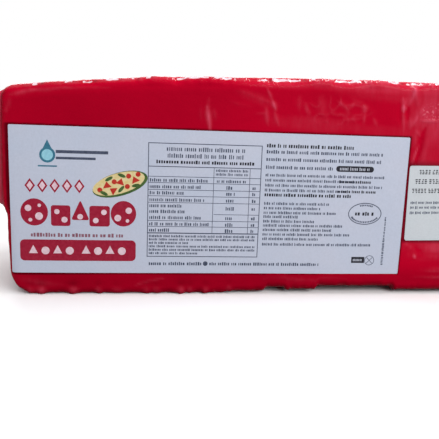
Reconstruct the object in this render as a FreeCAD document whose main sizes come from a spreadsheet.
import FreeCAD, Part
import math
import os
import Sketcher

# A gouda bar, sealed in a tight bag, standing on its long narrow side.
#
# Frame, in millimetres: +X runs along the bar, -Y is the labelled face, +Z is up.
# The origin is on the resting face, below the middle of the bar.
#
# The bar and its bag are one solid, because the bag is shut and lies on the cheese.
# The two stuck-on labels are solids of their own, which follow the face they lie on.

doc = FreeCAD.newDocument("gouda_block")

# ---------------------------------------------------------------------------
# Driving dimensions
# ---------------------------------------------------------------------------

SIZES = (
    # the bar
    ("bar_length", 300, "length of the bar without the folded bag ends"),
    ("bar_depth", 100, "from the labelled face to the rear face"),
    ("bar_height", 113.5, "height over the crowned top"),
    ("end_crown", 1000, "radius that crowns the two end faces"),
    ("top_crown", 3000, "radius that crowns the top"),
    ("crown_shift", 60, "highest point of the top, right of the middle"),
    ("shoulder_run", 90, "length of the sagging shoulder at the left end"),
    ("shoulder_drop", 10.4, "how far the left corner lies below the top"),
    ("corner_radius", 8, "rounding of the bar's upper corners, seen from the front"),
    ("foot_radius", 12, "rounding of its lower corners, which the bag pulls in more"),
    ("edge_radius", 4, "rounding all round the front and rear faces"),
    # the closed bag ends
    ("seam_height", 43.5, "height of the heat seal across an end"),
    ("film_fold", 0.8, "thickness of a shrunk double fold of film"),
    ("panel_margin", 8, "from the edges of the end to its two tucked panels"),
    ("panel_taper", 18, "how much a panel narrows, each side, on its way to the seal"),
    ("tail_length", 78, "length of the sealed tail, along the seal"),
    ("tail_width", 15, "how far the tail is folded up from the seal"),
    ("tail_rise", 2.6, "how far the tail's fold stands off the end"),
    ("ear_clear", 1, "from the top of an ear up to the bar's top corner"),
    ("ear_reach", 34, "width of an ear at its foot"),
    ("ear_tip", 7, "width of an ear at its top"),
    ("ear_inset", 3.2, "from the front or rear face to the fold of an ear"),
    ("front_ear_rise", 6, "how far the front ear stands off the end"),
    ("rear_ear_rise", 4.5, "how far the rear ear stands off the end"),
    # pleats of slack film under the bar
    ("pleat_count", 3, "pleats along each lower long edge"),
    ("pleat_start", 16, "from the left end to the first pleat"),
    ("pleat_pitch", 17, "from one pleat to the next"),
    ("pleat_width", 12, "width of the first and largest pleat"),
    ("pleat_rise", 1.8, "how far the first pleat stands off the rounded edge"),
    ("pleat_level", 3.2, "from the floor to the middle of the pleats"),
    ("pleat_shrink", 0.82, "size of a pleat against the one before it"),
    # the labels
    ("label_width", 201, "width of the main label"),
    ("label_height", 73, "height of the main label"),
    ("label_start", 3, "from the left end to the main label"),
    ("label_base", 11.5, "from the floor to the main label"),
    ("label_paper", 0.15, "thickness of the main label with its glue"),
    ("label_corner", 0.6, "corner radius of the main label"),
    ("sticker_width", 58, "width of the date sticker"),
    ("sticker_height", 40, "height of the date sticker"),
    ("sticker_gap", 2, "from the main label to the date sticker"),
    ("sticker_base", 30, "from the floor to the date sticker's lower left corner"),
    ("sticker_turn", 1.1, "how far the date sticker leans, in degrees"),
    ("sticker_paper", 0.12, "thickness of the date sticker with its glue"),
    ("sticker_corner", 1.2, "corner radius of the date sticker"),
)

sheet = doc.addObject("Spreadsheet::Sheet", "sizes")
for row, (alias, value, meaning) in enumerate(SIZES, start=1):
    sheet.set(f"A{row}", meaning)
    sheet.set(f"B{row}", str(value))
    sheet.setAlias(f"B{row}", alias)
doc.recompute()


def size(alias):
    """A driving dimension, read from the sheet."""
    return float(getattr(sheet, alias))


BURY = 4.0      # how deep a folded piece is rooted in the bar, so that it is one with it
MARGIN = 20.0   # how far a cutting or blank shape passes the bar

LENGTH = size("bar_length")
DEPTH = size("bar_depth")
HEIGHT = size("bar_height")


# ---------------------------------------------------------------------------
# Helpers for bodies and sketches
# ---------------------------------------------------------------------------

def origin_plane(body, role):
    """One of the body's own origin planes, found by its role."""
    for feature in body.Origin.OriginFeatures:
        if feature.Role == role:
            return feature
    raise ValueError("no origin plane " + role)


def new_sketch(body, name, role):
    """An empty sketch on one of the body's origin planes."""
    sketch = body.newObject("Sketcher::SketchObject", name)
    sketch.AttachmentSupport = [(origin_plane(body, role), "")]
    sketch.MapMode = "FlatFace"
    return sketch


def bind(sketch, name, expression, *constraint):
    """Add a dimension to the sketch and tie it to the sheet."""
    index = sketch.addConstraint(Sketcher.Constraint(*constraint))
    sketch.renameConstraint(index, name)
    sketch.setExpression("Constraints." + name, expression)


def arc_between(centre, radius, start, end):
    """The arc that runs anticlockwise about the centre from start to end."""
    circle = Part.Circle(centre, FreeCAD.Vector(0, 0, 1), radius)
    first = math.atan2(start.y - centre.y, start.x - centre.x)
    last = math.atan2(end.y - centre.y, end.x - centre.x)
    if last < first:
        last += 2 * math.pi
    return Part.ArcOfCircle(circle, first, last)


# ---------------------------------------------------------------------------
# The bar: its front outline is padded through, and every corner and edge is rounded.
# ---------------------------------------------------------------------------

START, END, CENTRE = 1, 2, 3     # a sketch element's named points
ORIGIN = (-1, 1)                 # the sketch's origin, as a constraint takes it
X_AXIS = -1


def end_x(height):
    """How far out the crowned end face lies, from the middle of the bar, at a height."""
    radius = size("end_crown")
    return LENGTH / 2 - radius + math.sqrt(radius ** 2 - (height - HEIGHT / 2) ** 2)


def top_z(x):
    """Height of the crowned top, right of the shoulder."""
    radius = size("top_crown")
    return HEIGHT - radius + math.sqrt(radius ** 2 - (x - size("crown_shift")) ** 2)


def draw_front_outline(sketch):
    """Flat foot, crowned ends, crowned top, and the shoulder that sags to the left."""
    flat = FreeCAD.Vector
    end_radius = size("end_crown")
    top_radius = size("top_crown")
    left_centre = flat(end_radius - LENGTH / 2, HEIGHT / 2)
    right_centre = flat(LENGTH / 2 - end_radius, HEIGHT / 2)
    top_centre = flat(size("crown_shift"), HEIGHT - top_radius)

    foot_left = flat(-end_x(0), 0)
    foot_right = flat(end_x(0), 0)
    corner_z = HEIGHT - size("shoulder_drop")
    top_left = flat(-end_x(corner_z), corner_z)
    # two passes settle the right top corner, where both arcs are nearly straight
    corner_x = end_x(HEIGHT)
    corner_x = end_x(top_z(corner_x))
    top_right = flat(corner_x, top_z(corner_x))

    # the shoulder's arc leaves the top without a crease and ends in the left corner
    joint_x = size("shoulder_run") - LENGTH / 2
    joint = flat(joint_x, top_z(joint_x))
    inward = (top_centre - joint).normalize()
    chord = joint - top_left
    shoulder_radius = -chord.Length ** 2 / (2 * inward.dot(chord))
    shoulder_centre = joint + inward * shoulder_radius

    foot = sketch.addGeometry(Part.LineSegment(foot_left, foot_right))
    right = sketch.addGeometry(arc_between(right_centre, end_radius, foot_right, top_right))
    top = sketch.addGeometry(arc_between(top_centre, top_radius, top_right, joint))
    shoulder = sketch.addGeometry(
        arc_between(shoulder_centre, shoulder_radius, joint, top_left))
    left = sketch.addGeometry(arc_between(left_centre, end_radius, top_left, foot_left))

    sketch.addConstraint([
        Sketcher.Constraint("Coincident", foot, START, left, END),
        Sketcher.Constraint("Coincident", foot, END, right, START),
        Sketcher.Constraint("Coincident", right, END, top, START),
        Sketcher.Constraint("Tangent", top, END, shoulder, START),
        Sketcher.Constraint("Coincident", shoulder, END, left, START),
        Sketcher.Constraint("Horizontal", foot),
        Sketcher.Constraint("PointOnObject", foot, START, X_AXIS),
    ])
    reach = end_radius - LENGTH / 2
    bind(sketch, "right_radius", "sizes.end_crown", "Radius", right, end_radius)
    bind(sketch, "right_reach", "sizes.end_crown - sizes.bar_length / 2",
         "DistanceX", right, CENTRE, *ORIGIN, reach)
    bind(sketch, "right_level", "sizes.bar_height / 2",
         "DistanceY", *ORIGIN, right, CENTRE, HEIGHT / 2)
    bind(sketch, "left_radius", "sizes.end_crown", "Radius", left, end_radius)
    bind(sketch, "left_reach", "sizes.end_crown - sizes.bar_length / 2",
         "DistanceX", *ORIGIN, left, CENTRE, reach)
    bind(sketch, "left_level", "sizes.bar_height / 2",
         "DistanceY", *ORIGIN, left, CENTRE, HEIGHT / 2)
    bind(sketch, "top_radius", "sizes.top_crown", "Radius", top, top_radius)
    bind(sketch, "top_shift", "sizes.crown_shift",
         "DistanceX", *ORIGIN, top, CENTRE, size("crown_shift"))
    bind(sketch, "top_level", "sizes.top_crown - sizes.bar_height",
         "DistanceY", top, CENTRE, *ORIGIN, top_radius - HEIGHT)
    bind(sketch, "shoulder_joint", "sizes.bar_length / 2 - sizes.shoulder_run",
         "DistanceX", top, END, *ORIGIN, -joint_x)
    bind(sketch, "shoulder_level", "sizes.bar_height - sizes.shoulder_drop",
         "DistanceY", *ORIGIN, left, START, corner_z)


def corner_edges(shape, upper):
    """The two straight edges that run from front to rear at the upper or the lower corners."""
    names = []
    for number, edge in enumerate(shape.Edges, start=1):
        first = edge.Vertexes[0].Point
        last = edge.Vertexes[-1].Point
        across = abs(first.x - last.x) < 0.01 and abs(first.z - last.z) < 0.01
        if across and abs(first.x) > LENGTH / 2 - BURY and (first.z > HEIGHT / 2) == upper:
            names.append(f"Edge{number}")
    return names


def face_rim_edges(shape):
    """The edges round the front and rear faces."""
    names = []
    for number, edge in enumerate(shape.Edges, start=1):
        levels = [abs(vertex.Point.y) for vertex in edge.Vertexes]
        along = abs(edge.Vertexes[0].Point.y - edge.Vertexes[-1].Point.y) < 0.01
        if along and min(levels) > DEPTH / 2 - 0.01:
            names.append(f"Edge{number}")
    return names


def round_edges(body, name, base, edges, radius_alias):
    """Round some edges of the body's last feature."""
    rounding = body.newObject("PartDesign::Fillet", name)
    rounding.Base = (base, edges)
    rounding.setExpression("Radius", "sizes." + radius_alias)
    doc.recompute()
    return rounding


def make_bar():
    body = doc.addObject("PartDesign::Body", "bar")
    outline = new_sketch(body, "bar_outline", "XZ_Plane")
    draw_front_outline(outline)
    block = body.newObject("PartDesign::Pad", "bar_block")
    block.Profile = outline
    block.Midplane = True
    block.setExpression("Length", "sizes.bar_depth")
    doc.recompute()

    corners = round_edges(
        body, "corner_rounding", block, corner_edges(block.Shape, True), "corner_radius")
    feet = round_edges(
        body, "foot_rounding", corners, corner_edges(corners.Shape, False), "foot_radius")
    rims = round_edges(
        body, "rim_rounding", feet, face_rim_edges(feet.Shape), "edge_radius")
    body.Tip = rims
    doc.recompute()
    return body


bar = make_bar()


# ---------------------------------------------------------------------------
# Layers: a flat blank takes the curve of the bar where it overlaps a copy of
# the bar that is moved outwards by the layer's thickness.
# ---------------------------------------------------------------------------

def moved_bar(name, offset):
    """A copy of the bar, moved out by a layer's thickness."""
    copy = doc.addObject("Part::Feature", name)
    copy.Shape = bar.Shape.copy()
    copy.Placement = FreeCAD.Placement(offset, FreeCAD.Rotation())
    return copy


def layer(name, blank, offset):
    """The blank, pressed onto the bar."""
    pressed = doc.addObject("Part::Common", name)
    pressed.Base = blank
    pressed.Tool = moved_bar(name + "_former", offset)
    return pressed


# ---------------------------------------------------------------------------
# The closed end of the bag: two tucked panels, the sealed tail folded up over
# the seal, and an ear of slack film along each upright edge.
# ---------------------------------------------------------------------------

def make_panel(name, wide_z, seal_z):
    """A panel that narrows from a long edge of the end to the seal."""
    body = doc.addObject("PartDesign::Body", name + "_blank")
    sketch = new_sketch(body, name + "_outline", "YZ_Plane")
    wide = DEPTH / 2 - size("panel_margin")
    narrow = wide - size("panel_taper")
    points = [
        FreeCAD.Vector(-wide, wide_z),
        FreeCAD.Vector(wide, wide_z),
        FreeCAD.Vector(narrow, seal_z),
        FreeCAD.Vector(-narrow, seal_z),
    ]
    lines = [sketch.addGeometry(Part.LineSegment(points[i], points[(i + 1) % 4]))
             for i in range(4)]
    for i in range(4):
        sketch.addConstraint(
            Sketcher.Constraint("Coincident", lines[i], END, lines[(i + 1) % 4], START))
    sketch.addConstraint([
        Sketcher.Constraint("Horizontal", lines[0]),
        Sketcher.Constraint("Horizontal", lines[2]),
    ])
    wide_text = "sizes.bar_depth / 2 - sizes.panel_margin"
    narrow_text = wide_text + " - sizes.panel_taper"
    bind(sketch, "wide_left", wide_text, "DistanceX", lines[0], START, *ORIGIN, wide)
    bind(sketch, "wide_right", wide_text, "DistanceX", *ORIGIN, lines[0], END, wide)
    bind(sketch, "narrow_left", narrow_text, "DistanceX", lines[3], START, *ORIGIN, narrow)
    bind(sketch, "narrow_right", narrow_text, "DistanceX", *ORIGIN, lines[1], END, narrow)
    bind(sketch, "seal_level", "sizes.seam_height",
         "DistanceY", *ORIGIN, lines[2], START, seal_z)
    if wide_z > seal_z:
        level = "sizes.bar_height - sizes.shoulder_drop - sizes.panel_margin"
    else:
        level = "sizes.panel_margin"
    bind(sketch, "wide_level", level, "DistanceY", *ORIGIN, lines[0], START, wide_z)
    pad = body.newObject("PartDesign::Pad", name + "_pad")
    pad.Profile = sketch
    pad.Reversed = True
    pad.setExpression("Length", f"sizes.bar_length / 2 + {MARGIN}")
    doc.recompute()
    return layer(name, body, FreeCAD.Vector(-size("film_fold"), 0, 0))


def make_tail():
    """The sealed tail: a rounded fold at the seal, thinning towards its free edge."""
    seal_z = size("seam_height")
    face_x = -end_x(seal_z)
    rise = size("tail_rise")
    half = size("tail_length") / 2
    inside = face_x + BURY
    low = FreeCAD.Vector(face_x, -half, seal_z - rise)
    fold = FreeCAD.Vector(face_x - rise, -half, seal_z)
    over = FreeCAD.Vector(face_x - rise * 0.8, -half, seal_z + rise)
    free = FreeCAD.Vector(face_x - size("film_fold"), -half, seal_z + size("tail_width"))
    free_root = FreeCAD.Vector(inside, -half, free.z)
    low_root = FreeCAD.Vector(inside, -half, low.z)
    profile = Part.Wire([
        Part.Arc(low, fold, over).toShape(),
        Part.makeLine(over, free),
        Part.makeLine(free, free_root),
        Part.makeLine(free_root, low_root),
        Part.makeLine(low_root, low),
    ])
    tail = doc.addObject("Part::Feature", "tail")
    tail.Shape = Part.Face(profile).extrude(FreeCAD.Vector(0, 2 * half, 0))
    return tail


EAR_SECTIONS = 5


def ear_section(side, rise, share):
    """One level cut through an ear, from its foot (share 0) to its top (share 1)."""
    corner_z = HEIGHT - size("shoulder_drop")
    ear_height = corner_z - size("ear_clear") - size("seam_height")
    height = size("seam_height") + share * ear_height
    # near the top the ear leans in over the rounded corner of the bar
    corner = size("corner_radius")
    above = height - (corner_z - corner)
    lean = 0.0
    if above > 0:
        lean = corner - math.sqrt(max(corner ** 2 - above ** 2, 0))
    face_x = -end_x(height) + lean
    # it stands off most at a third of its height and least at its top
    stand = rise * (0.3 + 0.7 * math.sin(math.pi * (0.25 + 0.7 * share)))
    reach = size("ear_reach") + share * (size("ear_tip") - size("ear_reach"))
    fold_y = DEPTH / 2 - size("ear_inset")

    def point(out, inward):
        return FreeCAD.Vector(face_x - out, side * (fold_y - inward), height)

    root = point(-BURY, 0)
    nose = point(stand * 0.6, 0.4)
    crest = point(stand, 2.2)
    tip = point(size("film_fold"), reach)
    tip_root = point(-BURY, reach)
    return Part.Wire([
        Part.makeLine(root, nose),
        Part.makeLine(nose, crest),
        Part.makeLine(crest, tip),
        Part.makeLine(tip, tip_root),
        Part.makeLine(tip_root, root),
    ])


def make_ear(name, side, rise):
    """An ear: the slack corner of the bag, folded against the end and standing off it."""
    wires = [ear_section(side, rise, step / (EAR_SECTIONS - 1))
             for step in range(EAR_SECTIONS)]
    ear = doc.addObject("Part::Feature", name)
    ear.Shape = Part.makeLoft(wires, True)
    return ear


def make_closed_end():
    upper_z = HEIGHT - size("shoulder_drop") - size("panel_margin")
    seal_z = size("seam_height")
    return [
        make_panel("upper_panel", upper_z, seal_z),
        make_panel("lower_panel", size("panel_margin"), seal_z),
        make_tail(),
        make_ear("front_ear", -1, size("front_ear_rise")),
        make_ear("rear_ear", 1, size("rear_ear_rise")),
    ]


def mirrored(piece):
    """The same piece at the other end of the bar."""
    copy = doc.addObject("Part::Mirroring", piece.Name + "_right")
    copy.Source = piece
    copy.Normal = FreeCAD.Vector(1, 0, 0)
    return copy


left_end = make_closed_end()
doc.recompute()
right_end = [mirrored(piece) for piece in left_end]


# ---------------------------------------------------------------------------
# Pleats: where slack film is gathered under the lower long edges
# ---------------------------------------------------------------------------

def make_pleat(number, side):
    """A lens of film that rides round the rounded edge, smaller than the one before."""
    scale = size("pleat_shrink") ** number
    edge = size("edge_radius")
    pleat = doc.addObject("Part::Ellipsoid", f"pleat_{number}_{'front' if side < 0 else 'rear'}")
    pleat.Radius1 = edge + size("pleat_rise") * scale
    pleat.Radius2 = size("pleat_width") / 2 * scale
    pleat.Radius3 = pleat.Radius1
    x = -LENGTH / 2 + size("pleat_start") + number * size("pleat_pitch")
    middle = FreeCAD.Vector(x, side * (DEPTH / 2 - edge), size("pleat_level"))
    pleat.Placement = FreeCAD.Placement(middle, FreeCAD.Rotation())
    return pleat


pleats = [make_pleat(number, side)
          for number in range(int(size("pleat_count")))
          for side in (-1, 1)]


# ---------------------------------------------------------------------------
# The wrapped block: one solid, cut off level where it stands
# ---------------------------------------------------------------------------

wrapped = doc.addObject("Part::MultiFuse", "wrapped")
wrapped.Shapes = [bar] + left_end + right_end + pleats

floor = doc.addObject("Part::Box", "floor")
floor.setExpression("Length", f"sizes.bar_length + 2 * {MARGIN}")
floor.setExpression("Width", f"sizes.bar_depth + 2 * {MARGIN}")
floor.Height = MARGIN
floor.setExpression("Placement.Base.x", f"-sizes.bar_length / 2 - {MARGIN}")
floor.setExpression("Placement.Base.y", f"-sizes.bar_depth / 2 - {MARGIN}")
floor.setExpression("Placement.Base.z", f"-{MARGIN}")

cheese_block = doc.addObject("Part::Cut", "cheese_block")
cheese_block.Base = wrapped
cheese_block.Tool = floor
doc.recompute()


# ---------------------------------------------------------------------------
# The labels
# ---------------------------------------------------------------------------

def make_blank(name, kind):
    """A label's flat blank, with rounded corners, standing through the front face."""
    box = doc.addObject("Part::Box", name + "_box")
    box.setExpression("Length", f"sizes.{kind}_width")
    box.setExpression("Height", f"sizes.{kind}_height")
    box.Width = 2 * MARGIN
    doc.recompute()
    upright = [number for number, edge in enumerate(box.Shape.Edges, start=1)
               if abs(edge.tangentAt(edge.FirstParameter).y) > 0.5]
    blank = doc.addObject("Part::Fillet", name + "_blank")
    blank.Base = box
    corner = size(kind + "_corner")
    blank.Edges = [(number, corner, corner) for number in upright]
    return blank


def make_label(name, kind, corner_x, corner_z, turn):
    """A label, cut from its blank and laid on the wrapped block."""
    blank = make_blank(name, kind)
    blank.Placement = FreeCAD.Placement(
        FreeCAD.Vector(corner_x, -DEPTH / 2 - MARGIN, corner_z),
        FreeCAD.Rotation(FreeCAD.Vector(0, 1, 0), -turn))
    doc.recompute()
    pressed = layer(name + "_layer", blank, FreeCAD.Vector(0, -size(kind + "_paper"), 0))
    label = doc.addObject("Part::Cut", name)
    label.Base = pressed
    label.Tool = cheese_block
    doc.recompute()
    return label


label_x = -LENGTH / 2 + size("label_start")
main_label = make_label("main_label", "label", label_x, size("label_base"), 0)
sticker_x = label_x + size("label_width") + size("sticker_gap")
date_sticker = make_label(
    "date_sticker", "sticker", sticker_x, size("sticker_base"), size("sticker_turn"))


# ---------------------------------------------------------------------------
# Checks, then one STEP file for each piece
# ---------------------------------------------------------------------------

PIECES = (cheese_block, main_label, date_sticker)

doc.recompute()
for item in doc.Objects:
    if "Invalid" in item.State or "Error" in item.State:
        raise RuntimeError("failed: " + item.Name)
for piece in PIECES:
    if piece.Shape.isNull() or not piece.Shape.isValid():
        raise RuntimeError("no valid shape: " + piece.Label)
    if len(piece.Shape.Solids) != 1:
        raise RuntimeError(f"{piece.Label} has {len(piece.Shape.Solids)} solids")

os.makedirs("parts", exist_ok=True)
for piece in PIECES:
    piece.Shape.exportStep(f"parts/{piece.Label}.step")
    box = piece.Shape.BoundBox
    print(f"{piece.Label}: {box.XLength:.1f} x {box.YLength:.1f} x {box.ZLength:.1f} mm, "
          f"{piece.Shape.Volume / 1000:.2f} cm3")
